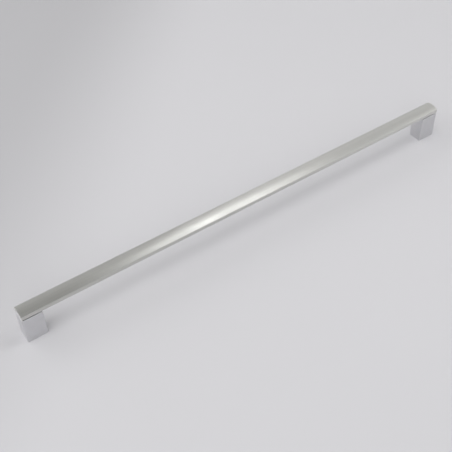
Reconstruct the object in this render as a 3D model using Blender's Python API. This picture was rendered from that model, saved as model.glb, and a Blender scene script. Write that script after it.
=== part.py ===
"""Furniture handle: a crowned aluminium bar carried by two die-cast legs.

The bar is one extruded channel, open below. Its two inward returns hold the T-shaped head of each
leg, which slides in from the end and stays flush with the cut end of the bar. A set screw in the
bore of each leg presses on the ceiling of the channel and locks the head. The legs are cored from
below round a screw boss, as zinc castings are.

Units are metres. X runs along the bar, Y from the front to the back and Z up. The origin lies on
the mounting surface, midway between the two legs.
"""

import math

import bmesh
import bpy
from mathutils import Vector

# Handle
HOLE_SPACING = 0.448
TOTAL_HEIGHT = 0.0350
HANDLE_WIDTH = 0.0141

# Bar section
CROWN_RISE = 0.0020
EDGE_HEIGHT = 0.0040
BAR_WALL = 0.0014
RETURN_THICKNESS = 0.0011
RETURN_LENGTH = 0.0021
CROWN_EDGE_RADIUS = 0.0004
RETURN_EDGE_RADIUS = 0.0003
CAVITY_RADIUS = 0.0004
END_CHAMFER = 0.00015

# Legs
LEG_LENGTH = 0.0188
SHADOW_GAP = 0.0009
LEG_EDGE_RADIUS = 0.0004
HEAD_SETBACK = 0.0002
HEAD_EDGE_RADIUS = 0.0003

# Core of each leg
LEG_WALL = 0.0020
CORE_DEPTH = 0.0200
CORE_CORNER_RADIUS = 0.0010
CORE_DRAFT = math.radians(1.0)
BOSS_RADIUS = 0.0038
WEB_THICKNESS = 0.0040

# Bore and set screw
THREAD_RADIUS = 0.0020
THREAD_CLEARANCE = 0.0002
BORE_CHAMFER = 0.0004
SCREW_LENGTH = 0.0060
SCREW_CHAMFER = 0.0004
POINT_RADIUS = 0.0012
CUP_RADIUS = 0.0010
CUP_DEPTH = 0.0005
SOCKET_ACROSS_FLATS = 0.0020
SOCKET_DEPTH = 0.0024

# Gap between two faces that seat on each other
SEAT_GAP = 0.0003

# Smoothness of the round forms
CROWN_SEGMENTS = 28
CORNER_SEGMENTS = 4
ROUND_SEGMENTS = 40
SMOOTH_ANGLE = math.radians(35.0)

# How far a cutter runs past the face that it opens
CUT_PAST = 0.0010

# Colour, metallic and roughness of each finish
BAR_FINISH = ((0.66, 0.655, 0.635, 1.0), 1.0, 0.38)
LEG_FINISH = ((0.66, 0.66, 0.67, 1.0), 1.0, 0.42)
SCREW_FINISH = ((0.30, 0.30, 0.32, 1.0), 1.0, 0.40)

# Places that follow from the sizes above
BAR_LENGTH = HOLE_SPACING + LEG_LENGTH
HALF_WIDTH = HANDLE_WIDTH / 2
BAR_UNDERSIDE = TOTAL_HEIGHT - CROWN_RISE - EDGE_HEIGHT
LEG_HEIGHT = BAR_UNDERSIDE - SHADOW_GAP
CROWN_RADIUS = (HALF_WIDTH**2 + CROWN_RISE**2) / (2 * CROWN_RISE)
CROWN_CENTRE = TOTAL_HEIGHT - CROWN_RADIUS
CEILING_RADIUS = CROWN_RADIUS - BAR_WALL
CAVITY_HALF = HALF_WIDTH - BAR_WALL
CAVITY_FLOOR = BAR_UNDERSIDE + RETURN_THICKNESS
SLOT_HALF = CAVITY_HALF - RETURN_LENGTH
HEAD_HALF = CAVITY_HALF - SEAT_GAP
HEAD_FLOOR = CAVITY_FLOOR + SEAT_GAP
HEAD_RADIUS = CEILING_RADIUS - SEAT_GAP
HEAD_TOP = CROWN_CENTRE + HEAD_RADIUS
NECK_HALF = SLOT_HALF - SEAT_GAP
BORE_RADIUS = THREAD_RADIUS + THREAD_CLEARANCE


def arc(centre, radius, start, end, segments):
    """Points of an arc in the YZ plane, from one angle to another, in degrees."""
    points = []
    for step in range(segments + 1):
        angle = math.radians(start + (end - start) * step / segments)
        points.append((centre[0] + radius * math.cos(angle), centre[1] + radius * math.sin(angle)))
    return points


def crown_to_side(radius, half_width, corner_radius):
    """From the top of a crown out to its upright side, with the corner between them rounded."""
    reach = half_width - corner_radius
    rise = math.sqrt((radius - corner_radius) ** 2 - reach**2)
    turn = math.degrees(math.atan2(rise, reach))
    crown = arc((0, CROWN_CENTRE), radius, 90, turn, CROWN_SEGMENTS // 2)
    corner = arc((reach, CROWN_CENTRE + rise), corner_radius, turn, 0, CORNER_SEGMENTS)
    return crown + corner[1:]


def mirrored(half):
    """Close a half outline, which starts and ends on the middle line, with its mirror image."""
    return half + [(-y, z) for y, z in reversed(half[1:-1])]


def bar_outline():
    """Section of the bar: crown, upright sides, returns and the cavity inside them."""
    tip = RETURN_EDGE_RADIUS
    outside = crown_to_side(CROWN_RADIUS, HALF_WIDTH, CROWN_EDGE_RADIUS)
    outside += arc((HALF_WIDTH - tip, BAR_UNDERSIDE + tip), tip, 0, -90, CORNER_SEGMENTS)
    outside += arc((SLOT_HALF + tip, BAR_UNDERSIDE + tip), tip, -90, -180, CORNER_SEGMENTS)
    outside += arc((SLOT_HALF + tip, CAVITY_FLOOR - tip), tip, 180, 90, CORNER_SEGMENTS)
    centre = (CAVITY_HALF - CAVITY_RADIUS, CAVITY_FLOOR + CAVITY_RADIUS)
    inside = arc(centre, CAVITY_RADIUS, -90, 0, CORNER_SEGMENTS)
    inside += reversed(crown_to_side(CEILING_RADIUS, CAVITY_HALF, CAVITY_RADIUS))
    return mirrored(outside + inside)


def stem_outline():
    """Section of the neck and head, which follow the slot and the cavity of the bar all round."""
    fillet = RETURN_EDGE_RADIUS + SEAT_GAP
    half = crown_to_side(HEAD_RADIUS, HEAD_HALF, HEAD_EDGE_RADIUS)
    centre = (HEAD_HALF - HEAD_EDGE_RADIUS, HEAD_FLOOR + HEAD_EDGE_RADIUS)
    half += arc(centre, HEAD_EDGE_RADIUS, 0, -90, CORNER_SEGMENTS)
    half += arc((NECK_HALF + fillet, HEAD_FLOOR - fillet), fillet, 90, 180, CORNER_SEGMENTS)
    root = LEG_HEIGHT - CUT_PAST
    half += [(NECK_HALF, root), (0, root)]
    return mirrored(half)


def new_object(name, mesh_builder, finish=None):
    """Make an object from a closed bmesh, facing out, shaded smooth up to the smooth angle."""
    mesh_builder.normal_update()
    bmesh.ops.recalc_face_normals(mesh_builder, faces=mesh_builder.faces)
    mesh = bpy.data.meshes.new(name)
    mesh_builder.to_mesh(mesh)
    mesh_builder.free()
    mesh.shade_smooth()
    mesh.set_sharp_from_angle(angle=SMOOTH_ANGLE)
    made = bpy.data.objects.new(name, mesh)
    bpy.context.scene.collection.objects.link(made)
    if finish:
        made.data.materials.append(finish)
    return made


def make_finish(name, look):
    """A metal finish from its colour, metallic value and roughness."""
    colour, metallic, roughness = look
    material = bpy.data.materials.new(name)
    material.use_nodes = True
    shader = material.node_tree.nodes["Principled BSDF"]
    shader.inputs["Base Color"].default_value = colour
    shader.inputs["Metallic"].default_value = metallic
    shader.inputs["Roughness"].default_value = roughness
    material.diffuse_color = colour
    return material


def extruded(outline, length):
    """A bmesh of a YZ outline extruded along X, centred on X = 0."""
    solid = bmesh.new()
    corners = [solid.verts.new((-length / 2, y, z)) for y, z in outline]
    section = solid.faces.new(corners)
    swept = bmesh.ops.extrude_face_region(solid, geom=[section])
    far_end = [item for item in swept["geom"] if isinstance(item, bmesh.types.BMVert)]
    bmesh.ops.translate(solid, verts=far_end, vec=Vector((length, 0, 0)))
    return solid


def turned(profile):
    """A bmesh turned about the Z axis from a profile of (radius, z) that starts and ends on it."""
    solid = bmesh.new()
    points = [solid.verts.new((radius, 0, z)) for radius, z in profile]
    edges = [solid.edges.new(pair) for pair in zip(points[:-1], points[1:])]
    bmesh.ops.spin(
        solid,
        geom=points + edges,
        cent=Vector((0, 0, 0)),
        axis=Vector((0, 0, 1)),
        angle=2 * math.pi,
        steps=ROUND_SEGMENTS,
        use_merge=True,
    )
    bmesh.ops.remove_doubles(solid, verts=solid.verts, dist=1e-7)
    return solid


def block(size, low, high):
    """A bmesh box of a given X and Y size between two heights."""
    solid = bmesh.new()
    bmesh.ops.create_cube(solid, size=1.0)
    bmesh.ops.scale(solid, verts=solid.verts, vec=Vector((size[0], size[1], high - low)))
    bmesh.ops.translate(solid, verts=solid.verts, vec=Vector((0, 0, (low + high) / 2)))
    return solid


def round_edges(solid, edges, radius, segments):
    """Round some edges of a bmesh."""
    bmesh.ops.bevel(
        solid,
        geom=edges,
        offset=radius,
        segments=segments,
        profile=0.5,
        affect="EDGES",
        clamp_overlap=True,
    )


def as_cutter(tool, carrier):
    """Show a boolean tool as a wire only, and carry it with the piece that it shapes."""
    tool.hide_render = True
    tool.display_type = "WIRE"
    tool.parent = carrier
    return tool


def add_boolean(target, tool, operation):
    """Join a tool to a piece, or cut the piece with it."""
    modifier = target.modifiers.new(tool.name, "BOOLEAN")
    modifier.object = tool
    modifier.operation = operation
    modifier.solver = "EXACT"


def make_bar(finish):
    """The bar, cut square at both ends and deburred all round the cuts."""
    bar = extruded(bar_outline(), BAR_LENGTH)
    cuts = [edge for edge in bar.edges if abs(edge.verts[0].co.x - edge.verts[1].co.x) < END_CHAMFER]
    round_edges(bar, cuts, END_CHAMFER, 1)
    return new_object("bar", bar, finish)


def make_core(name, leg):
    """The cavity under a leg: a drafted pocket that leaves a boss and a web in its middle."""
    inset = (CORE_DEPTH + CUT_PAST) * math.tan(CORE_DRAFT)
    size = (LEG_LENGTH - 2 * LEG_WALL, HANDLE_WIDTH - 2 * LEG_WALL)
    pocket = block(size, -CUT_PAST, CORE_DEPTH)
    for corner in pocket.verts:
        if corner.co.z > 0:
            corner.co.x -= math.copysign(inset, corner.co.x)
            corner.co.y -= math.copysign(inset, corner.co.y)
    upright = [edge for edge in pocket.edges if abs(edge.verts[0].co.z - edge.verts[1].co.z) > CUT_PAST]
    round_edges(pocket, upright, CORE_CORNER_RADIUS, CORNER_SEGMENTS)
    core = as_cutter(new_object(name + "_core", pocket), leg)

    low, high = -2 * CUT_PAST, CORE_DEPTH + CUT_PAST
    boss_profile = [(0, low), (BOSS_RADIUS, low), (BOSS_RADIUS + inset, high), (0, high)]
    boss = as_cutter(new_object(name + "_boss", turned(boss_profile)), leg)
    web = as_cutter(new_object(name + "_web", block((WEB_THICKNESS, HANDLE_WIDTH), low, high)), leg)
    add_boolean(core, boss, "DIFFERENCE")
    add_boolean(core, web, "DIFFERENCE")
    return core


def make_bore(name, leg):
    """The bore from the base to the top of the head, with a chamfered mouth for the cabinet screw."""
    mouth = BORE_RADIUS + BORE_CHAMFER + CUT_PAST
    high = HEAD_TOP + CUT_PAST
    profile = [(0, -CUT_PAST), (mouth, -CUT_PAST), (BORE_RADIUS, BORE_CHAMFER), (BORE_RADIUS, high), (0, high)]
    return as_cutter(new_object(name + "_bore", turned(profile)), leg)


def make_leg(name, place, finish):
    """A leg: a rounded block with its neck and head on top, cored and bored from below."""
    body = block((LEG_LENGTH, HANDLE_WIDTH), 0, LEG_HEIGHT)
    round_edges(body, body.edges[:], LEG_EDGE_RADIUS, CORNER_SEGMENTS)
    leg = new_object(name, body, finish)
    leg.location.x = place
    stem = new_object(name + "_stem", extruded(stem_outline(), LEG_LENGTH - 2 * HEAD_SETBACK), finish)
    add_boolean(leg, as_cutter(stem, leg), "UNION")
    add_boolean(leg, make_core(name, leg), "DIFFERENCE")
    add_boolean(leg, make_bore(name, leg), "DIFFERENCE")
    return leg


def make_set_screw(name, place, finish):
    """A set screw with its hexagon socket down and its cup point just under the bar's ceiling."""
    high = CROWN_CENTRE + CEILING_RADIUS - SEAT_GAP
    low = high - SCREW_LENGTH
    profile = [
        (0, low),
        (THREAD_RADIUS - SCREW_CHAMFER, low),
        (THREAD_RADIUS, low + SCREW_CHAMFER),
        (THREAD_RADIUS, high - (THREAD_RADIUS - POINT_RADIUS)),
        (POINT_RADIUS, high),
        (CUP_RADIUS, high),
        (0, high - CUP_DEPTH),
    ]
    screw = new_object(name, turned(profile), finish)
    screw.location.x = place
    socket = bmesh.new()
    bmesh.ops.create_cone(
        socket,
        cap_ends=True,
        segments=6,
        radius1=SOCKET_ACROSS_FLATS / math.sqrt(3),
        radius2=SOCKET_ACROSS_FLATS / math.sqrt(3),
        depth=SOCKET_DEPTH + CUT_PAST,
    )
    middle = low + (SOCKET_DEPTH - CUT_PAST) / 2
    bmesh.ops.translate(socket, verts=socket.verts, vec=Vector((0, 0, middle)))
    add_boolean(screw, as_cutter(new_object(name + "_socket", socket), screw), "DIFFERENCE")
    return screw


def main():
    """Clear the scene and make the handle."""
    for old in list(bpy.data.objects):
        bpy.data.objects.remove(old, do_unlink=True)
    bar_finish = make_finish("satin_aluminium", BAR_FINISH)
    leg_finish = make_finish("satin_plated_zinc", LEG_FINISH)
    screw_finish = make_finish("screw_steel", SCREW_FINISH)
    make_bar(bar_finish)
    for side, direction in (("left", -1), ("right", 1)):
        place = direction * HOLE_SPACING / 2
        make_leg("leg_" + side, place, leg_finish)
        make_set_screw("set_screw_" + side, place, screw_finish)


main()
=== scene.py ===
"""Satin bar handle for furniture, on a pale studio floor.

The handle is a crowned aluminium bar on two plated zinc legs. Each leg holds the bar by a head
that sits in the bar's channel, locked by a set screw in the leg's threaded bore.

Each section and turned shape is drawn with one vertex that is extruded and spun from point to
point, then mirrored, filled and extruded, or spun round. Lengths are in metres, X runs along the
bar, Y to the back and Z up from the surface that the legs stand on.
"""

import math
from typing import NamedTuple

import bmesh
import bpy
from bpy.props import FloatProperty
from bpy.props import FloatVectorProperty
from bpy.props import IntProperty
from bpy.props import PointerProperty
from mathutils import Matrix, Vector


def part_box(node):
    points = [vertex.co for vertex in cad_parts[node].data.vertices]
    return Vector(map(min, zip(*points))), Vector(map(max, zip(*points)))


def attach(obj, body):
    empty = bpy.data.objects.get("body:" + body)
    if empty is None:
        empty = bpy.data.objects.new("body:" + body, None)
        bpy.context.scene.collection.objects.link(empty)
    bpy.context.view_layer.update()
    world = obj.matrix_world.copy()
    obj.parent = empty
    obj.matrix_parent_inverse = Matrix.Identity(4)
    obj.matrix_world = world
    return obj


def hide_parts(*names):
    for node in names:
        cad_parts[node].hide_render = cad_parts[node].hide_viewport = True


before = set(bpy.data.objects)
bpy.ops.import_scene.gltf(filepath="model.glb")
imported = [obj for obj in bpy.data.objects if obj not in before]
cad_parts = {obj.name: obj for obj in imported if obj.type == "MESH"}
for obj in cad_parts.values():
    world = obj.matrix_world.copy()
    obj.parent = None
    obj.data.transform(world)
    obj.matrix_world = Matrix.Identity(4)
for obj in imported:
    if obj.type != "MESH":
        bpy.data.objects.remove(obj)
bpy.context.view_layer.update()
BAR_LOW, BAR_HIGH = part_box("bar")
LEG_LOW, LEG_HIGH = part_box("leg_right")
SCREW_LOW, SCREW_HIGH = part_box("set_screw_right")

bl_info = {
    "name": "Bar Handle",
    "version": (1, 0, 0),
    "blender": (4, 5, 0),
    "location": "3D Viewport > Sidebar > Handle",
    "description": "Builds a satin bar handle with its legs, set screws, floor and lights",
    "category": "Object",
}

# Directions of a spin axis and of a trimming plane
X_AXIS = (1, 0, 0)
Z_AXIS = (0, 0, 1)

QUARTER_TURN = math.pi / 2
FULL_TURN = 2 * math.pi

# Small distances: the plane that becomes a pen point, merging, trimming, and how far a cutter runs
# past the face that it opens
PEN_SIZE = 0.001
MERGE_DISTANCE = 1e-6
TRIM_THRESHOLD = 1e-8
CUT_PAST = 0.001

# Facets of the small roundings, and the profile that makes a rounding a circle's arc
DEBURR_STEPS = 2
POCKET_CORNER_STEPS = 6
POCKET_FILLET_STEPS = 4
ROUND_PROFILE = 0.5

# The Z of a normal over which its face counts as pointing up
UPWARD = 0.9

# Metric thread: half the angle between two flanks, and how many crest widths make up a pitch
FLANK_ANGLE = math.radians(30)
CRESTS_PER_PITCH = 6

# Socket of the set screws: its sides, and how far its drilled bottom narrows
SOCKET_SIDES = 6
SOCKET_TAPER = 0.1

# Degrees up to which the pieces are shaded smooth, and how much large faces steer the shading
BAR_SMOOTH = 40
LEG_SMOOTH = 35
SCREW_SMOOTH = 35
FACE_WEIGHT = 80

# Places of the sockets that share a name on their node: the operands of a math node, and the two
# values, colours or shaders of a mix, with its result
FIRST, SECOND = 0, 1
MIX_FACTOR = 0
VALUE_A, VALUE_B, VALUE_RESULT = 2, 3, 0
COLOUR_A, COLOUR_B, COLOUR_RESULT = 6, 7, 2
SHADER_A, SHADER_B = 1, 2

# Widths over which one finish on a piece gives way to the next
BLEND = 0.0001
FINE_BLEND = 0.00005
CUT_BLEND = 0.00001

# Range of a mask, and the ranges that one noise pattern and the sum of two mostly keep to
MASK_RANGE = (0.0, 1.0)
NOISE_RANGE = (0.3, 0.7)
SUM_RANGE = (0.7, 1.3)

# Camera: the width of its sensor in millimetres, and how near it sees
SENSOR_WIDTH = 36.0
CLIP_START = 0.01


class Pattern(NamedTuple):
    """Noise on a piece's own coordinates. Its cells are counted per metre along X, Y and Z."""

    cells: tuple
    detail: float
    roughness: float = 0.5


# Satin aluminium of the bar, with the plain finish of its channel and its saw-cut ends. Shades are
# shares of a piece's colour, and a sway is how far its roughness goes up and down.
BAR_GRAIN = Pattern((30, 6500, 6500), 3.0)
BAR_STREAKS = Pattern((9, 1400, 1400), 4.0, 0.6)
BAR_CLOUD = Pattern((25, 60, 60), 2.0)
DIE_LINES = Pattern((2, 2500, 2500), 2.0)
SAW_MARKS = Pattern((50, 300, 9000), 2.0)
SATIN_SHADES = (0.965, 1.035)
DIE_SHADE = 0.86
SAWN_SHADES = (0.9, 1.15)
SATIN_SWAY = 0.05
DIE_ROUGHNESS = 0.5
SAWN_ROUGHNESS = 0.42
BAR_RELIEF = {"Strength": 0.12, "Distance": 0.00003}

# Satin plated zinc of the legs, with the cast skin of the pocket and the cut metal of the bore. The
# rim of the base is plated up to a small height, and the plating's relief is a share of its grain.
PLATING_GRAIN = Pattern((3200, 3200, 3200), 3.0)
PLATING_CLOUD = Pattern((160, 160, 160), 2.0)
CAST_SKIN = Pattern((1500, 1500, 1500), 5.0, 0.65)
PLATED_SHADES = (0.98, 1.02)
SKIN_SHADES = (0.62, 0.84)
BORE_SHADE = 0.9
PLATED_SWAY = 0.04
SKIN_ROUGHNESS = 0.58
BORE_ROUGHNESS = 0.3
PLATED_BASE = 0.00005
PLATED_RELIEF = 0.35
LEG_RELIEF = {"Strength": 0.18, "Distance": 0.00005}

# Plain steel of the set screws
TURNED_RINGS = Pattern((250, 250, 14000), 2.0)
ZINC_CLOUD = Pattern((900, 900, 900), 3.0)
STEEL_SHADES = (0.85, 1.2)
STEEL_SWAY = 0.08
SCREW_RELIEF = {"Strength": 0.15, "Distance": 0.00003}

# Pale floor
FLOOR_CLOUD = Pattern((3, 3, 3), 2.0)
FLOOR_SHADES = (0.985, 1.015)
FLOOR_ROUGHNESS = (0.62, 0.70)
FLOOR_SPECULAR = 0.2


class Lamp(NamedTuple):
    """A flat lamp: its place, the point that it faces, its width and height, and its brightness."""

    name: str
    place: tuple
    target: tuple
    size: tuple
    brightness: float


# Soft panels in the four corners of the studio, a dim one at the back, and the small lamp above
# that the crown reflects
LAMPS = (
    Lamp("front_left_panel", (-2.2, -1.5, 1.5), (0, 0, 0), (4.8, 3.0), 1.48),
    Lamp("back_left_panel", (-1.6, 1.3, 1.2), (0, 0, 0), (3.4, 2.2), 1.25),
    Lamp("front_right_panel", (2.1, -1.05, 1.2), (0, 0, 0), (2.2, 1.5), 1.25),
    Lamp("back_right_panel", (1.6, 1.3, 1.2), (0, 0, 0), (2.2, 1.5), 0.3),
    Lamp("back_panel", (-0.1, 1.5, 1.3), (0, 0, 0), (1.0, 0.8), 0.3),
    Lamp("key_lamp", (0.38, -0.08, 1.03), (0, 0, 0), (0.50, 0.34), 3.95),
)


def length(name, description, default):
    """A property for a length."""
    return FloatProperty(
        name=name,
        description=description,
        default=default,
        min=0.0,
        precision=5,
        subtype="DISTANCE",
        unit="LENGTH",
    )


def colour(name, description, default):
    """A property for a linear colour."""
    return FloatVectorProperty(
        name=name,
        description=description,
        default=default,
        min=0.0,
        max=1.0,
        size=3,
        subtype="COLOR",
    )


def share(name, description, default):
    """A property for a share from 0 to 1."""
    return FloatProperty(
        name=name,
        description=description,
        default=default,
        min=0.0,
        max=1.0,
        subtype="FACTOR",
    )


class BarSizes(bpy.types.PropertyGroup):
    """Sizes of the extruded bar."""

    bar_length: length("Length", "Length of the bar between its cut ends", BAR_HIGH.x - BAR_LOW.x)
    width: length("Width", "Width of the bar from front to back", BAR_HIGH.y - BAR_LOW.y)
    top: length("Top", "Height of the crown above the floor", BAR_HIGH.z)
    underside: length("Underside", "Height of the bar's underside above the floor", BAR_LOW.z)
    crown_rise: length("Crown rise", "Rise of the crown over its two long edges", 0.0020)
    wall: length("Wall", "Wall of the extrusion at the crown and the sides", 0.0014)
    return_thickness: length("Return thickness", "Thickness of the two returns", 0.0011)
    return_length: length("Return length", "How far each return reaches inwards", 0.0021)
    crown_edge_radius: length("Crown edge radius", "Radius between crown and side", 0.0004)
    return_edge_radius: length("Return edge radius", "Radius on the edges of the returns", 0.0003)
    cavity_radius: length("Cavity radius", "Radius in the corners of the channel", 0.0004)
    deburr: length("Deburr", "Rounding of the edges of both saw cuts", 0.00015)
    crown_steps: IntProperty(
        name="Crown steps",
        description="Facets over half of the crown",
        default=30,
        min=4,
    )
    corner_steps: IntProperty(
        name="Corner steps",
        description="Facets of each small radius",
        default=6,
        min=2,
    )


class LegSizes(bpy.types.PropertyGroup):
    """Sizes of the cast legs."""

    leg_length: length("Length", "Length of a leg along the bar", LEG_HIGH.x - LEG_LOW.x)
    middle: length(
        "Middle",
        "Distance of a leg's bore from the middle of the bar",
        (LEG_HIGH.x + LEG_LOW.x) / 2,
    )
    shadow_gap: length("Shadow gap", "Gap between the leg's block and the bar", 0.0009)
    seat_gap: length("Seat gap", "Play between the leg's head and the bar", 0.0003)
    edge_radius: length("Edge radius", "Radius on the edges of the block", 0.0004)
    head_setback: length("Head setback", "How far the head stays inside the cut end", 0.0002)
    head_edge_radius: length("Head edge radius", "Radius on the edges of the head", 0.0003)
    wall: length("Wall", "Wall of the casting round its pocket", 0.0020)
    core_depth: length("Pocket depth", "Depth of the pocket under the leg", 0.0200)
    core_draft: FloatProperty(
        name="Draft",
        description="Taper of the pocket that lets the casting leave its mould",
        default=math.radians(1.0),
        subtype="ANGLE",
        unit="ROTATION",
    )
    core_radius: length("Pocket radius", "Radius in the corners of the pocket", 0.0010)
    core_fillet: length("Pocket fillet", "Fillet round the ceiling of the pocket", 0.0005)
    boss_radius: length("Boss radius", "Radius of the screw boss", 0.0038)
    web: length("Web", "Thickness of the web that carries the boss", 0.0040)
    pin_radius: length("Pin mark radius", "Radius of the ejector pin marks", 0.0009)
    pin_depth: length("Pin mark depth", "Depth of the ejector pin marks", 0.00012)
    pin_offset: length("Pin mark offset", "Distance of a pin mark from the bore", 0.0057)


class ThreadSizes(bpy.types.PropertyGroup):
    """Sizes of the threaded bores and the set screws in them."""

    pitch: length("Pitch", "Rise of the thread in one turn", 0.0007)
    bore_minor: length("Bore minor radius", "Radius inside the thread of the bore", 0.00165)
    bore_major: length("Bore major radius", "Radius at the root of the thread of the bore", 0.00203)
    mouth: length("Mouth radius", "Radius of the countersink at the base", 0.0026)
    screw_minor: length("Screw minor radius", "Radius at the root of the screw's thread", 0.00158)
    screw_major: length("Screw major radius", "Radius over the screw's thread", 0.00197)
    screw_low: length("Screw bottom", "Height of the socket end of the set screws", SCREW_LOW.z)
    screw_high: length("Screw top", "Height of the point of the set screws", SCREW_HIGH.z)
    chamfer: length("Chamfer", "Chamfer on the socket end", 0.0004)
    point_radius: length("Point radius", "Radius of the cup point", 0.0012)
    cup_radius: length("Cup radius", "Radius of the hollow in the point", 0.0010)
    cup_depth: length("Cup depth", "Depth of the hollow in the point", 0.0005)
    socket_flats: length("Socket flats", "Width of the socket across its flats", 0.0020)
    socket_depth: length("Socket depth", "Depth of the socket", 0.0024)
    turn_steps: IntProperty(
        name="Turn steps",
        description="Facets in one turn of a round shape",
        default=48,
        min=12,
    )


class FinishLooks(bpy.types.PropertyGroup):
    """Colours and roughness of the finishes."""

    bar_colour: colour("Bar", "Satin aluminium", (0.69, 0.687, 0.668))
    bar_roughness: share("Bar roughness", "Roughness of the satin aluminium", 0.42)
    bar_brushing: share("Bar brushing", "How much rougher the aluminium is across its grain", 0.87)
    leg_colour: colour("Legs", "Satin plated zinc", (0.678, 0.677, 0.692))
    leg_roughness: share("Leg roughness", "Roughness of the satin plating", 0.42)
    screw_colour: colour("Set screws", "Plain steel", (0.30, 0.30, 0.32))
    screw_roughness: share("Screw roughness", "Roughness of the plain steel", 0.40)


class StageSettings(bpy.types.PropertyGroup):
    """Floor, lights and camera."""

    floor_colour: colour("Floor", "Pale floor", (0.64, 0.635, 0.66))
    floor_size: length("Floor size", "Side of the square floor", 8.0)
    fade_start: length("Fade start", "Distance from the middle where the floor starts to fade", 1.1)
    fade_end: length("Fade end", "Distance from the middle where the floor is gone", 2.6)
    # Painted shade: the floor's colour darkens towards its far left, standing in for light that
    # falls off there
    floor_painted_shade: share("Dim floor", "Shade of the floor at its far left", 0.78)
    painted_shade_from: FloatProperty(
        name="Dim from",
        description="X less Y where the floor is dimmest",
        default=-0.42,
        unit="LENGTH",
    )
    painted_shade_to: FloatProperty(
        name="Dim to",
        description="X less Y where the floor has its full tone",
        default=-0.14,
        unit="LENGTH",
    )
    horizon: colour("Horizon", "Light from all round at the horizon", (0.56, 0.56, 0.555))
    zenith: colour("Zenith", "Light from straight above", (0.26, 0.26, 0.25))
    brightness: FloatProperty(
        name="Brightness",
        description="Brightness of all lamps together",
        default=1.0,
        min=0.0,
    )
    camera_place: FloatVectorProperty(
        name="Camera place",
        description="Place of the camera",
        default=(-0.3275, -0.4567, 0.5697),
        subtype="TRANSLATION",
        unit="LENGTH",
    )
    camera_turn: FloatVectorProperty(
        name="Camera turn",
        description="Rotation of the camera",
        default=(math.radians(44.3723), math.radians(1.1691), math.radians(-34.6158)),
        subtype="EULER",
        unit="ROTATION",
    )
    camera_lens: FloatProperty(
        name="Camera lens",
        description="Focal length of the camera in millimetres",
        default=66.74,
    )


def settle():
    """Leave edit mode and deselect everything."""
    if bpy.context.object and bpy.context.object.mode == "EDIT":
        bpy.ops.object.mode_set(mode="OBJECT")
    bpy.ops.object.select_all(action="DESELECT")


def take_up(piece):
    """Make one piece the selected and active one."""
    settle()
    piece.select_set(True)
    bpy.context.view_layer.objects.active = piece


def edit(piece, mode):
    """Open one piece in edit mode with nothing selected."""
    take_up(piece)
    bpy.ops.object.mode_set(mode="EDIT")
    bpy.ops.mesh.select_mode(type=mode)
    bpy.ops.mesh.select_all(action="DESELECT")


def select_edges(piece, wanted):
    """Select the edges whose two ends pass a test."""
    edit(piece, "EDGE")
    mesh = bmesh.from_edit_mesh(piece.data)
    for edge in mesh.edges:
        edge.select_set(wanted(edge.verts[0].co, edge.verts[1].co))
    bmesh.update_edit_mesh(piece.data)


def select_top(piece):
    """Select the faces that point up."""
    edit(piece, "FACE")
    mesh = bmesh.from_edit_mesh(piece.data)
    mesh.normal_update()
    for face in mesh.faces:
        face.select_set(face.normal.z > UPWARD)
    bmesh.update_edit_mesh(piece.data)


def bevel_selected(radius, steps):
    """Round the selected edges."""
    bpy.ops.mesh.bevel(offset=radius, segments=steps, profile=ROUND_PROFILE, affect="EDGES")


def close_shape():
    """Point all faces of the edited mesh outwards and leave edit mode."""
    bpy.ops.mesh.select_all(action="SELECT")
    bpy.ops.mesh.normals_make_consistent(inside=False)
    settle()


def name_new(name):
    """Name the piece that was just added, and put its place and size into its mesh."""
    piece = bpy.context.object
    piece.name = name
    bpy.ops.object.transform_apply(location=True, rotation=True, scale=True)
    return piece


def add_cube(name, middle, size):
    """A cube primitive at its size and place, with its object at the origin."""
    settle()
    bpy.ops.mesh.primitive_cube_add(size=1, location=middle, scale=size)
    return name_new(name)


def add_cone(name, place, low, high, steps):
    """A cone or cylinder along Z between two (radius, z) ends, with its object at the origin."""
    settle()
    bpy.ops.mesh.primitive_cone_add(
        vertices=steps,
        radius1=low[0],
        radius2=high[0],
        depth=high[1] - low[1],
        location=(place, 0, (low[1] + high[1]) / 2),
    )
    return name_new(name)


def start_pen(name, point):
    """Begin an outline: a small plane, merged into the vertex in its middle."""
    settle()
    bpy.ops.mesh.primitive_plane_add(size=PEN_SIZE, location=point)
    piece = name_new(name)
    bpy.ops.object.mode_set(mode="EDIT")
    bpy.ops.mesh.select_mode(type="VERT")
    bpy.ops.mesh.select_all(action="SELECT")
    bpy.ops.mesh.merge(type="CENTER")
    return piece


def line_to(piece, point):
    """Extrude the pen's vertex straight to a point."""
    mesh = bmesh.from_edit_mesh(piece.data)
    tip = next(corner.co.copy() for corner in mesh.verts if corner.select)
    bpy.ops.mesh.extrude_vertices_move(TRANSFORM_OT_translate={"value": Vector(point) - tip})


def arc_round(centre, angle, steps):
    """Spin the pen's vertex about an axis along X. A positive angle turns from up to the back."""
    bpy.ops.mesh.spin(steps=steps, angle=angle, center=centre, axis=X_AXIS)


def apply_modifier(piece, kind, settings):
    """Add a modifier with its settings, and apply it."""
    take_up(piece)
    bpy.ops.object.modifier_add(type=kind)
    modifier = piece.modifiers[-1]
    for setting, value in settings.items():
        setattr(modifier, setting, value)
    bpy.ops.object.modifier_apply(modifier=modifier.name)


def combine(piece, tool, operation):
    """Join a tool to a piece, cut the piece with it, or keep what they share, and drop the tool."""
    apply_modifier(piece, "BOOLEAN", {"operation": operation, "object": tool, "solver": "EXACT"})
    bpy.data.objects.remove(tool, do_unlink=True)


def close_section(piece, run):
    """Mirror half a section over the middle plane, fill it and extrude it along X."""
    settle()
    mirror = {"use_axis": (False, True, False), "use_clip": True, "merge_threshold": MERGE_DISTANCE}
    apply_modifier(piece, "MIRROR", mirror)
    edit(piece, "EDGE")
    bpy.ops.mesh.select_all(action="SELECT")
    bpy.ops.mesh.edge_face_add()
    bpy.ops.mesh.extrude_region_move(TRANSFORM_OT_translate={"value": (run, 0, 0)})
    close_shape()


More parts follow.
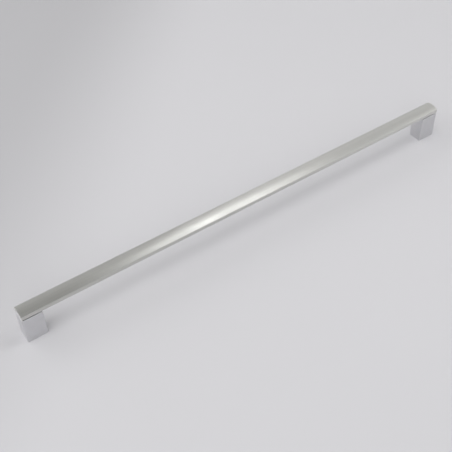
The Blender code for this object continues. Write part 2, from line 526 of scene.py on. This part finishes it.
def turn_outline(steps):
    """Spin the edited outline, which starts and ends on the Z axis, once round that axis."""
    bpy.ops.mesh.select_all(action="SELECT")
    bpy.ops.mesh.spin(steps=steps, angle=FULL_TURN, center=(0, 0, 0), axis=Z_AXIS)
    bpy.ops.mesh.select_all(action="SELECT")
    bpy.ops.mesh.remove_doubles(threshold=MERGE_DISTANCE)
    close_shape()


def move_along(piece, distance):
    """Move a finished shape along the bar and leave its object at the origin."""
    take_up(piece)
    bpy.ops.transform.translate(value=(distance, 0, 0))
    bpy.ops.object.transform_apply(location=True, rotation=True, scale=True)


def smooth(piece, degrees):
    """Shade a piece smooth up to an angle, with flat faces kept flat beside their roundings."""
    take_up(piece)
    bpy.ops.object.shade_smooth_by_angle(angle=math.radians(degrees))
    apply_modifier(piece, "WEIGHTED_NORMAL", {"keep_sharp": True, "weight": FACE_WEIGHT})


def crown_shape(radius, half_width, corner):
    """Where a crown meets an upright side: the corner's centre from the crown's, and its angle."""
    reach = half_width - corner
    rise = math.sqrt((radius - corner) ** 2 - reach**2)
    return reach, rise, math.atan2(reach, rise)


def crown_geometry(sizes):
    """Radius and centre height of the crown."""
    half = sizes.width / 2
    radius = (half**2 + sizes.crown_rise**2) / (2 * sizes.crown_rise)
    return radius, sizes.top - radius


def make_bar(sizes):
    """Draw half of the bar's section clockwise from the top, close it and deburr the cut ends."""
    half = sizes.width / 2
    radius, centre = crown_geometry(sizes)
    side = -sizes.bar_length / 2
    steps = sizes.corner_steps
    tip = sizes.return_edge_radius
    cavity = half - sizes.wall
    floor = sizes.underside + sizes.return_thickness
    slot = cavity - sizes.return_length
    inner = sizes.cavity_radius

    bar = start_pen("satin_bar", (side, 0, sizes.top))
    reach, rise, turn = crown_shape(radius, half, sizes.crown_edge_radius)
    arc_round((side, 0, centre), turn, sizes.crown_steps)
    arc_round((side, reach, centre + rise), QUARTER_TURN - turn, steps)
    line_to(bar, (side, half, sizes.underside + tip))
    arc_round((side, half - tip, sizes.underside + tip), QUARTER_TURN, steps)
    line_to(bar, (side, slot + tip, sizes.underside))
    arc_round((side, slot + tip, sizes.underside + tip), QUARTER_TURN, steps)
    line_to(bar, (side, slot, floor - tip))
    arc_round((side, slot + tip, floor - tip), QUARTER_TURN, steps)
    line_to(bar, (side, cavity - inner, floor))
    arc_round((side, cavity - inner, floor + inner), -QUARTER_TURN, steps)
    reach, rise, turn = crown_shape(radius - sizes.wall, cavity, inner)
    line_to(bar, (side, cavity, centre + rise))
    arc_round((side, reach, centre + rise), turn - QUARTER_TURN, steps)
    arc_round((side, 0, centre), -turn, sizes.crown_steps)
    close_section(bar, sizes.bar_length)

    cut = sizes.bar_length / 2 - MERGE_DISTANCE
    select_edges(bar, lambda a, b: min(abs(a.x), abs(b.x)) > cut and a.x * b.x > 0)
    bevel_selected(sizes.deburr, DEBURR_STEPS)
    smooth(bar, BAR_SMOOTH)
    return bar


def make_stem(sizes, legs):
    """The neck and head of the leg, which follow the bar's slot and channel with even play."""
    radius, centre = crown_geometry(sizes)
    play = legs.seat_gap
    side = legs.middle - legs.leg_length / 2 + legs.head_setback
    steps = sizes.corner_steps
    cavity = sizes.width / 2 - sizes.wall
    head = cavity - play
    edge = legs.head_edge_radius
    head_floor = sizes.underside + sizes.return_thickness + play
    neck = cavity - sizes.return_length - play
    fillet = sizes.return_edge_radius + play
    root = sizes.underside - legs.shadow_gap - CUT_PAST
    head_radius = radius - sizes.wall - play

    stem = start_pen("stem", (side, 0, centre + head_radius))
    reach, rise, turn = crown_shape(head_radius, head, edge)
    arc_round((side, 0, centre), turn, sizes.crown_steps)
    arc_round((side, reach, centre + rise), QUARTER_TURN - turn, steps)
    line_to(stem, (side, head, head_floor + edge))
    arc_round((side, head - edge, head_floor + edge), QUARTER_TURN, steps)
    line_to(stem, (side, neck + fillet, head_floor))
    arc_round((side, neck + fillet, head_floor - fillet), -QUARTER_TURN, steps)
    line_to(stem, (side, neck, root))
    line_to(stem, (side, 0, root))
    close_section(stem, legs.leg_length - 2 * legs.head_setback)
    return stem


def make_pocket(sizes, legs, steps):
    """The hollow under the leg: a drafted block less the boss and its web, with filleted edges."""
    place = legs.middle
    low = -CUT_PAST
    depth = legs.core_depth
    size = (legs.leg_length - 2 * legs.wall, sizes.width - 2 * legs.wall)
    inset = (depth + CUT_PAST) * math.tan(legs.core_draft)
    pocket = add_cube("pocket", (place, 0, (low + depth) / 2), (*size, depth - low))
    select_top(pocket)
    shrink = (1 - 2 * inset / size[0], 1 - 2 * inset / size[1], 1)
    bpy.ops.transform.resize(value=shrink, center_override=(place, 0, depth))
    select_edges(pocket, lambda a, b: abs(a.z - b.z) > CUT_PAST)
    bevel_selected(legs.core_radius, POCKET_CORNER_STEPS)

    bottom = 2 * low
    past = depth + CUT_PAST
    radius = legs.boss_radius
    boss = add_cone("boss", place, (radius, bottom), (radius + inset, past), steps)
    web_size = (legs.web, sizes.width, past - bottom)
    web = add_cube("web", (place, 0, (bottom + past) / 2), web_size)
    combine(boss, web, "UNION")
    combine(pocket, boss, "DIFFERENCE")

    ceiling = depth - MERGE_DISTANCE
    select_edges(pocket, lambda a, b: min(a.z, b.z) > ceiling)
    bevel_selected(legs.core_fillet, POCKET_FILLET_STEPS)
    pin_low = (legs.pin_radius, depth - CUT_PAST)
    pin_high = (legs.pin_radius, depth + legs.pin_depth)
    for side in (-1, 1):
        pin = add_cone("pin", place + side * legs.pin_offset, pin_low, pin_high, steps)
        combine(pocket, pin, "UNION")
    return pocket


def make_thread(name, radii, pitch, ends, steps):
    """A threaded rod about Z: one pitch of its outline climbs a screw, trimmed at both ends."""
    minor, major = radii
    low, high = ends
    flank = (major - minor) * math.tan(FLANK_ANGLE)
    crest = pitch / CRESTS_PER_PITCH
    # The climb starts below the low end and stops past the high one
    start = (math.floor(low / pitch) - 1) * pitch
    rod = start_pen(name, (minor, 0, start - pitch / 2))
    line_to(rod, (minor, 0, start - crest / 2 - flank))
    line_to(rod, (major, 0, start - crest / 2))
    line_to(rod, (major, 0, start + crest / 2))
    line_to(rod, (minor, 0, start + crest / 2 + flank))
    line_to(rod, (minor, 0, start + pitch / 2))
    climb = {
        "axis": "Z",
        "angle": FULL_TURN,
        "screw_offset": pitch,
        "iterations": math.ceil((high - start) / pitch) + 2,
        "steps": steps,
        "render_steps": steps,
        "use_merge_vertices": True,
        "merge_threshold": MERGE_DISTANCE,
    }
    apply_modifier(rod, "SCREW", climb)
    edit(rod, "VERT")
    bpy.ops.mesh.select_all(action="SELECT")
    bpy.ops.mesh.remove_doubles(threshold=MERGE_DISTANCE)
    for plane, clears in ((low, {"clear_inner": True}), (high, {"clear_outer": True})):
        bpy.ops.mesh.select_all(action="SELECT")
        trim = {"plane_co": (0, 0, plane), "plane_no": Z_AXIS, "threshold": TRIM_THRESHOLD}
        bpy.ops.mesh.bisect(use_fill=True, **trim, **clears)
    close_shape()
    return rod


def make_leg(sizes, legs, thread):
    """One leg: a rounded block with its stem, pocket, countersink and threaded bore."""
    place = legs.middle
    height = sizes.underside - legs.shadow_gap
    leg = add_cube("cast_leg_right", (place, 0, height / 2), (legs.leg_length, sizes.width, height))
    select_edges(leg, lambda a, b: True)
    bevel_selected(legs.edge_radius, sizes.corner_steps)
    combine(leg, make_stem(sizes, legs), "UNION")
    combine(leg, make_pocket(sizes, legs, thread.turn_steps), "DIFFERENCE")

    depth = thread.mouth - thread.bore_minor
    below = (thread.mouth + CUT_PAST, -CUT_PAST)
    sink = add_cone("countersink", place, below, (thread.bore_minor, depth), thread.turn_steps)
    combine(leg, sink, "DIFFERENCE")

    radii = (thread.bore_minor, thread.bore_major)
    ends = (-CUT_PAST, sizes.top + CUT_PAST)
    tap_steps = thread.turn_steps // 2
    tap = make_thread("tap", radii, thread.pitch, ends, tap_steps)
    move_along(tap, place)
    combine(leg, tap, "DIFFERENCE")
    smooth(leg, LEG_SMOOTH)
    return leg


def make_set_screw(legs, thread):
    """A set screw: a threaded rod trimmed to a chamfered end and a cup point, with a hex socket."""
    low, high = thread.screw_low, thread.screw_high
    radius = thread.screw_major + MERGE_DISTANCE
    radii = (thread.screw_minor, thread.screw_major)
    ends = (low - CUT_PAST, high + CUT_PAST)
    screw = make_thread("set_screw_right_threaded", radii, thread.pitch, ends, thread.turn_steps)

    blank = start_pen("blank", (0, 0, low))
    line_to(blank, (radius - thread.chamfer, 0, low))
    line_to(blank, (radius, 0, low + thread.chamfer))
    line_to(blank, (radius, 0, high - (radius - thread.point_radius)))
    line_to(blank, (thread.point_radius, 0, high))
    line_to(blank, (thread.cup_radius, 0, high))
    line_to(blank, (0, 0, high - thread.cup_depth))
    turn_outline(thread.turn_steps)
    combine(screw, blank, "INTERSECT")

    corner = thread.socket_flats / math.sqrt(3)
    inside = low + thread.socket_depth
    socket = add_cone("socket", 0, (corner, low - CUT_PAST), (corner, inside), SOCKET_SIDES)
    select_top(socket)
    bpy.ops.mesh.extrude_region_move(TRANSFORM_OT_translate={"value": (0, 0, corner / 2)})
    taper = (SOCKET_TAPER, SOCKET_TAPER, 1)
    bpy.ops.transform.resize(value=taper, center_override=(0, 0, inside))
    settle()
    combine(screw, socket, "DIFFERENCE")
    move_along(screw, legs.middle)
    smooth(screw, SCREW_SMOOTH)
    return screw


def copy_to_left(piece, name, distance):
    """A copy of a right-hand piece with its own mesh, at the other end of the bar."""
    take_up(piece)
    bpy.ops.object.duplicate(linked=False)
    copy = bpy.context.object
    copy.name = name
    move_along(copy, -distance)
    return copy


def add_node(tree, kind, inputs, settings=None):
    """Add a shader node. An input takes a value, or is linked where it is given a socket."""
    node = tree.nodes.new(kind)
    for setting, value in (settings or {}).items():
        setattr(node, setting, value)
    for name, value in inputs.items():
        if isinstance(value, bpy.types.NodeSocket):
            tree.links.new(value, node.inputs[name])
        else:
            node.inputs[name].default_value = value
    return node


def new_finish(name):
    """A material with its node tree, its shader and the object's own coordinates."""
    material = bpy.data.materials.new(name)
    material.use_nodes = True
    tree = material.node_tree
    place = add_node(tree, "ShaderNodeTexCoord", {}).outputs["Object"]
    return material, tree, tree.nodes["Principled BSDF"], place


def noise(tree, place, pattern):
    """One noise pattern, with its coordinates stretched to its cells."""
    scaled = add_node(tree, "ShaderNodeMapping", {"Vector": place, "Scale": pattern.cells})
    inputs = {
        "Vector": scaled.outputs["Vector"],
        "Scale": 1.0,
        "Detail": pattern.detail,
        "Roughness": pattern.roughness,
    }
    return add_node(tree, "ShaderNodeTexNoise", inputs).outputs["Fac"]


def spread(tree, value, from_range, to_range=MASK_RANGE, curve="LINEAR"):
    """Map a value from one range to another, held inside the second."""
    inputs = {
        "Value": value,
        "From Min": from_range[0],
        "From Max": from_range[1],
        "To Min": to_range[0],
        "To Max": to_range[1],
    }
    node = add_node(tree, "ShaderNodeMapRange", inputs, {"interpolation_type": curve})
    return node.outputs["Result"]


def over(tree, value, edge, blend=BLEND):
    """A mask that rises from 0 at an edge to 1 a blend's width over it."""
    return spread(tree, value, (edge, edge + blend))


def under(tree, value, edge, blend=BLEND):
    """A mask that rises from 0 at an edge to 1 a blend's width under it."""
    return spread(tree, value, (edge, edge - blend))


def calculate(tree, operation, first, second=0.0):
    """A math node on one or two values."""
    inputs = {FIRST: first, SECOND: second}
    return add_node(tree, "ShaderNodeMath", inputs, {"operation": operation}).outputs["Value"]


def all_of(tree, mask, *others):
    """The product of masks, which is 1 where each of them is 1."""
    for other in others:
        mask = calculate(tree, "MULTIPLY", mask, other)
    return mask


def vector_length(tree, vector):
    """The length of a vector."""
    node = add_node(tree, "ShaderNodeVectorMath", {FIRST: vector}, {"operation": "LENGTH"})
    return node.outputs["Value"]


def distance_to_axis(tree, sides):
    """How far a point lies from an axis, from its distances along the other two."""
    vector = add_node(tree, "ShaderNodeCombineXYZ", sides).outputs["Vector"]
    return vector_length(tree, vector)


def mix_colours(tree, factor, first, second):
    """Mix two colours by a factor."""
    inputs = {MIX_FACTOR: factor, COLOUR_A: first, COLOUR_B: second}
    return add_node(tree, "ShaderNodeMix", inputs, {"data_type": "RGBA"}).outputs[COLOUR_RESULT]


def mix_values(tree, factor, first, second):
    """Mix two values by a factor."""
    inputs = {MIX_FACTOR: factor, VALUE_A: first, VALUE_B: second}
    return add_node(tree, "ShaderNodeMix", inputs).outputs[VALUE_RESULT]


def shaded(tone, shade):
    """An RGBA colour that is darker or lighter by a factor."""
    return (*(min(1.0, channel * shade) for channel in tone), 1.0)


def mottled(tree, pattern, tone, shades):
    """A colour that follows a pattern from one shade of it to another."""
    return mix_colours(tree, pattern, shaded(tone, shades[0]), shaded(tone, shades[1]))


def unsteady(tree, first, second, roughness, sway):
    """A roughness that follows two patterns up and down."""
    patterns = calculate(tree, "ADD", first, second)
    return spread(tree, patterns, SUM_RANGE, (roughness - sway, roughness + sway))


def dress_metal(tree, shader, tone, roughness, relief, height):
    """Give a metal its colour, its roughness, and a relief that follows a height."""
    bump = add_node(tree, "ShaderNodeBump", {**relief, "Height": height})
    tree.links.new(tone, shader.inputs["Base Color"])
    tree.links.new(roughness, shader.inputs["Roughness"])
    tree.links.new(bump.outputs["Normal"], shader.inputs["Normal"])
    shader.inputs["Metallic"].default_value = 1.0


def channel_mask(tree, axes, sizes):
    """A mask of the bar's channel, bounded by the middle of its wall and of its returns."""
    radius, centre = crown_geometry(sizes)
    height = calculate(tree, "SUBTRACT", axes["Z"], centre)
    distance = distance_to_axis(tree, {"Y": axes["Y"], "Z": height})
    under_crown = under(tree, distance, radius - sizes.wall / 2)
    across = calculate(tree, "ABSOLUTE", axes["Y"])
    between_sides = under(tree, across, sizes.width / 2 - sizes.wall / 2)
    over_returns = over(tree, axes["Z"], sizes.underside + sizes.return_thickness / 2)
    return all_of(tree, under_crown, between_sides, over_returns)


def bar_finish(sizes, looks):
    """Satin aluminium: fine grain along the bar, plain die lines in the channel, saw-cut ends."""
    material, tree, shader, place = new_finish("satin_aluminium")
    axes = add_node(tree, "ShaderNodeSeparateXYZ", {"Vector": place}).outputs
    grain = noise(tree, place, BAR_GRAIN)
    streaks = noise(tree, place, BAR_STREAKS)
    cloud = noise(tree, place, BAR_CLOUD)
    die_lines = noise(tree, place, DIE_LINES)
    saw = noise(tree, place, SAW_MARKS)

    channel = channel_mask(tree, axes, sizes)
    end = sizes.bar_length / 2 - sizes.deburr / 2
    cut = over(tree, calculate(tree, "ABSOLUTE", axes["X"]), end, CUT_BLEND)

    satin = mottled(tree, spread(tree, streaks, NOISE_RANGE), looks.bar_colour, SATIN_SHADES)
    extruded = mix_colours(tree, channel, satin, shaded(looks.bar_colour, DIE_SHADE))
    sawn = mottled(tree, saw, looks.bar_colour, SAWN_SHADES)
    tone = mix_colours(tree, cut, extruded, sawn)

    satin_rough = unsteady(tree, grain, cloud, looks.bar_roughness, SATIN_SWAY)
    extruded_rough = mix_values(tree, channel, satin_rough, DIE_ROUGHNESS)
    rough = mix_values(tree, cut, extruded_rough, SAWN_ROUGHNESS)

    lines = mix_values(tree, channel, calculate(tree, "ADD", grain, streaks), die_lines)
    dress_metal(tree, shader, tone, rough, BAR_RELIEF, mix_values(tree, cut, lines, saw))

    brushing = {"direction_type": "RADIAL", "axis": "X"}
    across_grain = add_node(tree, "ShaderNodeTangent", {}, brushing).outputs["Tangent"]
    tree.links.new(across_grain, shader.inputs["Tangent"])
    shader.inputs["Anisotropic"].default_value = looks.bar_brushing
    return material


def leg_finish(sizes, legs, thread, looks):
    """Satin plated zinc: an even grain outside, cast skin in the pocket, cut metal in the bore."""
    material, tree, shader, place = new_finish("satin_plated_zinc")
    axes = add_node(tree, "ShaderNodeSeparateXYZ", {"Vector": place}).outputs
    grain = noise(tree, place, PLATING_GRAIN)
    cloud = noise(tree, place, PLATING_CLOUD)
    skin = noise(tree, place, CAST_SKIN)

    # Distances from the leg's own bore, the same in both legs
    from_middle = calculate(tree, "ABSOLUTE", axes["X"])
    along = calculate(tree, "ABSOLUTE", calculate(tree, "SUBTRACT", from_middle, legs.middle))
    across = calculate(tree, "ABSOLUTE", axes["Y"])
    in_length = under(tree, along, legs.leg_length / 2 - legs.wall / 2)
    in_width = under(tree, across, sizes.width / 2 - legs.wall / 2)
    in_height = under(tree, axes["Z"], legs.core_depth + legs.core_fillet)
    above_base = over(tree, axes["Z"], PLATED_BASE, FINE_BLEND)
    pocket = all_of(tree, in_length, in_width, in_height, above_base)
    from_bore = distance_to_axis(tree, {"X": along, "Y": across})
    bore = under(tree, from_bore, thread.bore_major + BLEND, FINE_BLEND)

    plated = mottled(tree, spread(tree, cloud, NOISE_RANGE), looks.leg_colour, PLATED_SHADES)
    cast = mottled(tree, skin, looks.leg_colour, SKIN_SHADES)
    uncut = mix_colours(tree, pocket, plated, cast)
    tone = mix_colours(tree, bore, uncut, shaded(looks.leg_colour, BORE_SHADE))

    plated_rough = unsteady(tree, grain, cloud, looks.leg_roughness, PLATED_SWAY)
    uncut_rough = mix_values(tree, pocket, plated_rough, SKIN_ROUGHNESS)
    rough = mix_values(tree, bore, uncut_rough, BORE_ROUGHNESS)

    fine_grain = calculate(tree, "MULTIPLY", grain, PLATED_RELIEF)
    height = mix_values(tree, pocket, fine_grain, skin)
    dress_metal(tree, shader, tone, rough, LEG_RELIEF, height)
    return material


def screw_finish(looks):
    """Plain steel: fine turned rings and a faint cloud of zinc."""
    material, tree, shader, place = new_finish("screw_steel")
    rings = noise(tree, place, TURNED_RINGS)
    cloud = noise(tree, place, ZINC_CLOUD)
    tone = mottled(tree, cloud, looks.screw_colour, STEEL_SHADES)
    rough = unsteady(tree, rings, cloud, looks.screw_roughness, STEEL_SWAY)
    dress_metal(tree, shader, tone, rough, SCREW_RELIEF, rings)
    return material


def floor_finish(stage):
    """Plain pale sheet that fades into the surround far out, with painted shade that darkens its
    far left.
    """
    material, tree, shader, place = new_finish("pale_floor")
    cloud = noise(tree, place, FLOOR_CLOUD)
    even = mottled(tree, cloud, stage.floor_colour, FLOOR_SHADES)
    axes = add_node(tree, "ShaderNodeSeparateXYZ", {"Vector": place}).outputs
    # Painted shade: the floor's colour darkens along a diagonal towards its far left
    diagonal = calculate(tree, "SUBTRACT", axes["X"], axes["Y"])
    painted_shade_range = (stage.painted_shade_from, stage.painted_shade_to)
    bright = spread(tree, diagonal, painted_shade_range, curve="SMOOTHSTEP")
    tone = mix_colours(tree, bright, shaded(stage.floor_colour, stage.floor_painted_shade), even)
    tree.links.new(tone, shader.inputs["Base Color"])
    rough = spread(tree, cloud, NOISE_RANGE, FLOOR_ROUGHNESS)
    tree.links.new(rough, shader.inputs["Roughness"])
    shader.inputs["Specular IOR Level"].default_value = FLOOR_SPECULAR

    fade_range = (stage.fade_start, stage.fade_end)
    fade = spread(tree, vector_length(tree, place), fade_range, curve="SMOOTHSTEP")
    clear = add_node(tree, "ShaderNodeBsdfTransparent", {}).outputs["BSDF"]
    layers = {MIX_FACTOR: fade, SHADER_A: shader.outputs["BSDF"], SHADER_B: clear}
    faded = add_node(tree, "ShaderNodeMixShader", layers).outputs["Shader"]
    tree.links.new(faded, tree.nodes["Material Output"].inputs["Surface"])
    return material


def make_surround(stage):
    """Soft light from all round, a little brighter at the horizon than above."""
    world = bpy.data.worlds.new("soft_surround")
    world.use_nodes = True
    tree = world.node_tree
    direction = add_node(tree, "ShaderNodeTexCoord", {}).outputs["Generated"]
    height = add_node(tree, "ShaderNodeSeparateXYZ", {"Vector": direction}).outputs["Z"]
    tone = mix_colours(tree, height, (*stage.horizon, 1.0), (*stage.zenith, 1.0))
    tree.links.new(tone, tree.nodes["Background"].inputs["Color"])
    return world


def dress(piece, material, node):
    """Give a finished piece its material, hang it under the root body, and hide its CAD node."""
    piece.data.materials.clear()
    piece.data.materials.append(material)
    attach(piece, "root")
    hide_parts(node)


def add_lamp(lamp, brightness):
    """Hang one flat lamp and turn it to its target."""
    settle()
    turn = (Vector(lamp.target) - Vector(lamp.place)).to_track_quat("-Z", "Y").to_euler()
    bpy.ops.object.light_add(type="AREA", location=lamp.place, rotation=turn)
    light = bpy.context.object
    width, height = lamp.size
    light.name = lamp.name
    light.data.shape = "RECTANGLE"
    light.data.size = width
    light.data.size_y = height
    # The watts at which the lamp's face has its brightness whatever its size
    light.data.energy = math.pi * width * height * lamp.brightness * brightness
    light.visible_camera = False


class HANDLE_OT_bar(bpy.types.Operator):
    """Extrude the crowned bar and give it its satin grain"""

    bl_idname = "handle.make_bar"
    bl_label = "Make Bar"
    bl_options = {"REGISTER", "UNDO"}

    def execute(self, context):
        scene = context.scene
        bar = make_bar(scene.handle_bar)
        dress(bar, bar_finish(scene.handle_bar, scene.handle_looks), "bar")
        return {"FINISHED"}


class HANDLE_OT_legs(bpy.types.Operator):
    """Cast one leg with its head, pocket and threaded bore, and copy it to the other end"""

    bl_idname = "handle.make_legs"
    bl_label = "Make Legs"
    bl_options = {"REGISTER", "UNDO"}

    def execute(self, context):
        scene = context.scene
        sizes, legs, thread = scene.handle_bar, scene.handle_legs, scene.handle_thread
        right = make_leg(sizes, legs, thread)
        left = copy_to_left(right, "cast_leg_left", 2 * legs.middle)
        finish = leg_finish(sizes, legs, thread, scene.handle_looks)
        dress(right, finish, "leg_right")
        dress(left, finish, "leg_left")
        return {"FINISHED"}


class HANDLE_OT_set_screws(bpy.types.Operator):
    """Cut one threaded set screw with its socket and cup point, and copy it to the other leg"""

    bl_idname = "handle.make_set_screws"
    bl_label = "Make Set Screws"
    bl_options = {"REGISTER", "UNDO"}

    def execute(self, context):
        scene = context.scene
        right = make_set_screw(scene.handle_legs, scene.handle_thread)
        left = copy_to_left(right, "set_screw_left_threaded", 2 * scene.handle_legs.middle)
        finish = screw_finish(scene.handle_looks)
        dress(right, finish, "set_screw_right")
        dress(left, finish, "set_screw_left")
        return {"FINISHED"}


class HANDLE_OT_stage(bpy.types.Operator):
    """Lay the pale floor and set the soft lights and the camera"""

    bl_idname = "handle.make_stage"
    bl_label = "Make Stage"
    bl_options = {"REGISTER", "UNDO"}

    def execute(self, context):
        scene = context.scene
        stage = scene.handle_stage
        settle()
        bpy.ops.mesh.primitive_plane_add(size=stage.floor_size, location=(0, 0, 0))
        floor = context.object
        floor.name = "pale_floor"
        floor.data.materials.append(floor_finish(stage))

        scene.world = make_surround(stage)

        for lamp in LAMPS:
            add_lamp(lamp, stage.brightness)

        settle()
        bpy.ops.object.camera_add(location=stage.camera_place, rotation=stage.camera_turn)
        camera = context.object
        camera.name = "photo_view"
        camera.data.sensor_width = SENSOR_WIDTH
        camera.data.lens = stage.camera_lens
        camera.data.clip_start = CLIP_START
        scene.camera = camera
        scene.view_settings.view_transform = "Standard"
        settle()
        return {"FINISHED"}


class HANDLE_PT_panel(bpy.types.Panel):
    """Lists the steps that build the handle, and its sizes and finishes"""

    bl_idname = "HANDLE_PT_panel"
    bl_label = "Bar Handle"
    bl_space_type = "VIEW_3D"
    bl_region_type = "UI"
    bl_category = "Handle"

    def draw(self, context):
        layout = self.layout
        for step in STEPS:
            layout.operator(step.bl_idname)
        for group in GROUPS:
            settings = getattr(context.scene, group)
            box = layout.box()
            for name in settings.bl_rna.properties.keys():
                if name not in ("rna_type", "name"):
                    box.prop(settings, name)


STEPS = (HANDLE_OT_bar, HANDLE_OT_legs, HANDLE_OT_set_screws, HANDLE_OT_stage)
GROUPS = {
    "handle_bar": BarSizes,
    "handle_legs": LegSizes,
    "handle_thread": ThreadSizes,
    "handle_looks": FinishLooks,
    "handle_stage": StageSettings,
}


def register():
    """Register the settings, the steps and the panel."""
    for name, group in GROUPS.items():
        bpy.utils.register_class(group)
        setattr(bpy.types.Scene, name, PointerProperty(type=group))
    for step in STEPS:
        bpy.utils.register_class(step)
    bpy.utils.register_class(HANDLE_PT_panel)


def unregister():
    """Take the panel, the steps and the settings out again."""
    bpy.utils.unregister_class(HANDLE_PT_panel)
    for step in reversed(STEPS):
        bpy.utils.unregister_class(step)
    for name, group in reversed(GROUPS.items()):
        delattr(bpy.types.Scene, name)
        bpy.utils.unregister_class(group)


def main():
    """Register the settings and steps, and build the handle and its stage step by step."""
    register()
    bpy.ops.handle.make_bar()
    bpy.ops.handle.make_legs()
    bpy.ops.handle.make_set_screws()
    bpy.ops.handle.make_stage()


if __name__ == "__main__":
    main()
